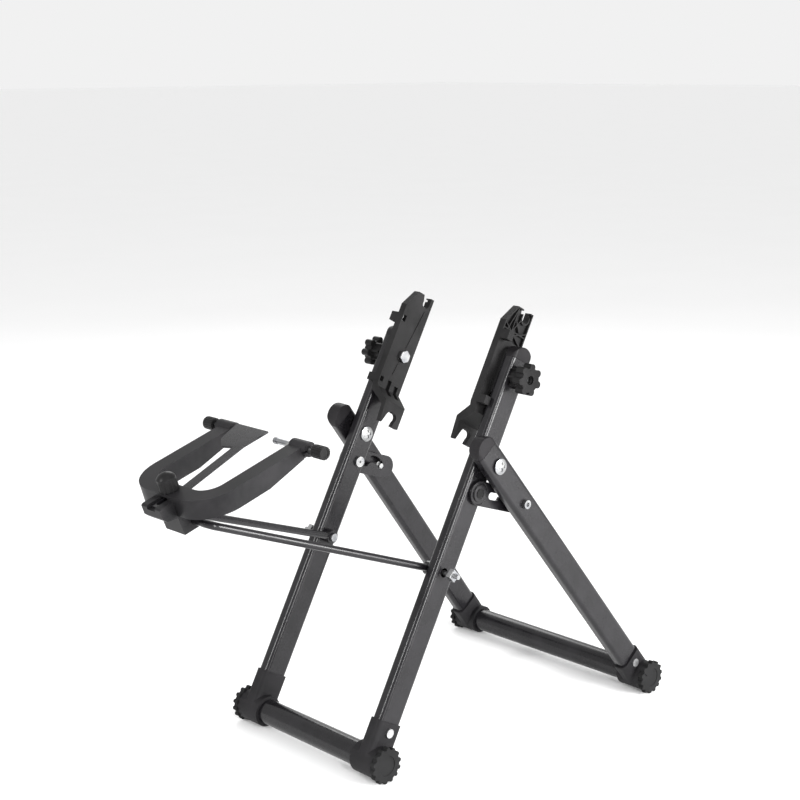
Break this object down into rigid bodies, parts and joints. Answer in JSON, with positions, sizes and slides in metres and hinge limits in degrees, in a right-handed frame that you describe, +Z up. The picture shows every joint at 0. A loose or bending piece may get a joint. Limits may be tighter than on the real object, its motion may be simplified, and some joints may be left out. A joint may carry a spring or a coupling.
{
  "type": "bicycle wheel truing stand",
  "caption": "Folding bench stand that holds a bicycle wheel by its axle between two arms, with a hinged caliper for checking rim run-out.",
  "frame": {"origin": "on the floor, at the centre of the bounding box seen from above", "axes": "+X along the wheel axle towards the stand's right side seen from behind the caliper, +Y from the caliper towards the rear foot, +Z up"},
  "size_m": [0.3104, 0.5978, 0.4622],
  "materials": {
    "frame_paint": "satin black powder coat",
    "tee_plastic": "fine moulded texture, black",
    "foot_rubber": "matt black",
    "end_cap_plastic": "satin black",
    "adapter_plastic": "moulded black",
    "caliper_plastic": "satin black",
    "knob_plastic": "semi-gloss black",
    "zinc_hardware": "bright zinc plate",
    "rivet_aluminium": "bright"
  },
  "bodies": {
    "front_frame": {"front_foot_tube": "frame_paint", "front_tee_right": "tee_plastic", "front_tee_left": "tee_plastic", "front_foot_cap_right": "foot_rubber", "front_foot_cap_left": "foot_rubber", "arm_right": "frame_paint", "arm_left": "frame_paint", "arm_cap_right": "end_cap_plastic", "arm_cap_left": "end_cap_plastic", "front_tee_rivets": "rivet_aluminium", "fold_pivot_bolts": "zinc_hardware", "fold_pivot_screws": "zinc_hardware", "fold_pivot_spacers": "zinc_hardware", "link_hinge_screws": "zinc_hardware", "caliper_pivot_bolts": "zinc_hardware", "caliper_pivot_nuts": "zinc_hardware"},
    "rear_frame": {"rear_foot_tube": "frame_paint", "rear_tee_right": "tee_plastic", "rear_tee_left": "tee_plastic", "rear_foot_cap_right": "foot_rubber", "rear_foot_cap_left": "foot_rubber", "leg_right": "frame_paint", "leg_left": "frame_paint", "leg_cap_right": "end_cap_plastic", "leg_cap_left": "end_cap_plastic", "rear_tee_rivets": "rivet_aluminium", "link_studs": "zinc_hardware"},
    "lock_link_right": {"lock_link_right": "frame_paint"},
    "lock_link_left": {"lock_link_left": "frame_paint"},
    "adapter_right": {"dropout_adapter_right": "adapter_plastic", "adapter_bolt_right": "zinc_hardware"},
    "adapter_left": {"dropout_adapter_left": "adapter_plastic", "adapter_bolt_left": "zinc_hardware"},
    "star_knob_right": {"star_knob_right": "knob_plastic"},
    "star_knob_left": {"star_knob_left": "knob_plastic"},
    "caliper_arm": {"caliper_arm": "frame_paint"},
    "caliper_head": {"caliper_base": "caliper_plastic", "caliper_fork": "caliper_plastic", "gauge_clamp_stud": "zinc_hardware"},
    "gauge_blade": {"gauge_blade": "frame_paint"},
    "gauge_clamp_knob": {"gauge_clamp_knob": "knob_plastic"},
    "side_screw_right": {"side_screw_right": "zinc_hardware"},
    "side_screw_left": {"side_screw_left": "zinc_hardware"},
    "side_screw_knob_right": {"side_screw_knob_right": "knob_plastic"},
    "side_screw_knob_left": {"side_screw_knob_left": "knob_plastic"}
  },
  "joints": [
    {"name": "fold", "type": "hinge", "parent": "front_frame", "child": "rear_frame", "pos_m": [0, 0.054, 0.30573], "axis": [1, 0, 0], "range_deg": [-56, 0]},
    {"name": "link_turn_right", "type": "hinge", "parent": "front_frame", "child": "lock_link_right", "pos_m": [0.1027, 0.04206, 0.27556], "axis": [1, 0, 0], "range_deg": [-84.1, 0]},
    {"name": "star_knob_turn_right", "type": "hinge", "parent": "front_frame", "child": "star_knob_right", "pos_m": [0.112, 0.09839, 0.39108], "axis": [1, 0, 0], "range_deg": [0, 2161]},
    {"name": "adapter_slide_right", "type": "slide", "parent": "front_frame", "child": "adapter_right", "axis": [-1, 0, 0], "range_m": [0, 0.0075]},
    {"name": "link_turn_left", "type": "hinge", "parent": "front_frame", "child": "lock_link_left", "pos_m": [-0.1027, 0.04206, 0.27556], "axis": [1, 0, 0], "range_deg": [-84.1, 0]},
    {"name": "star_knob_turn_left", "type": "hinge", "parent": "front_frame", "child": "star_knob_left", "pos_m": [-0.112, 0.09839, 0.39108], "axis": [-1, 0, 0], "range_deg": [0, 2161]},
    {"name": "adapter_slide_left", "type": "slide", "parent": "front_frame", "child": "adapter_left", "axis": [1, 0, 0], "range_m": [0, 0.0075]},
    {"name": "caliper_swing", "type": "hinge", "parent": "front_frame", "child": "caliper_arm", "pos_m": [0, -0.00667, 0.19895], "axis": [1, 0, 0], "range_deg": [-60, 55]},
    {"name": "caliper_tilt", "type": "hinge", "parent": "caliper_arm", "child": "caliper_head", "pos_m": [0, -0.25967, 0.29003], "axis": [1, 0, 0], "range_deg": [-30, 30]},
    {"name": "gauge_slide", "type": "slide", "parent": "caliper_head", "child": "gauge_blade", "axis": [0, 0.9541, 0.2995], "range_m": [-0.01, 0.01]},
    {"name": "gauge_knob_turn", "type": "hinge", "parent": "caliper_head", "child": "gauge_clamp_knob", "pos_m": [0, -0.27654, 0.32006], "axis": [0, -0.2995, 0.9541], "range_deg": [0, 360]},
    {"name": "side_screw_slide_right", "type": "slide", "parent": "caliper_head", "child": "side_screw_right", "axis": [-1, 0, 0], "range_m": [-0.008, 0.007]},
    {"name": "side_screw_turn_right", "type": "hinge", "parent": "side_screw_right", "child": "side_screw_knob_right", "pos_m": [0.085, -0.16085, 0.35219], "axis": [-1, 0, 0], "range_deg": [-2881, 2521]},
    {"name": "side_screw_slide_left", "type": "slide", "parent": "caliper_head", "child": "side_screw_left", "axis": [1, 0, 0], "range_m": [-0.008, 0.007]},
    {"name": "side_screw_turn_left", "type": "hinge", "parent": "side_screw_left", "child": "side_screw_knob_left", "pos_m": [-0.085, -0.16085, 0.35219], "axis": [1, 0, 0], "range_deg": [-2881, 2521]}
  ],
  "couplings": [
    {"joint": "link_turn_right", "follows": "fold", "ratio": 1.5},
    {"joint": "star_knob_turn_right", "follows": "adapter_slide_right", "rad_per_m": 5026.5},
    {"joint": "side_screw_turn_right", "follows": "side_screw_slide_right", "rad_per_m": 6283.2},
    {"joint": "link_turn_left", "follows": "fold", "ratio": 1.5},
    {"joint": "star_knob_turn_left", "follows": "adapter_slide_left", "rad_per_m": 5026.5},
    {"joint": "side_screw_turn_left", "follows": "side_screw_slide_left", "rad_per_m": 6283.2}
  ]
}
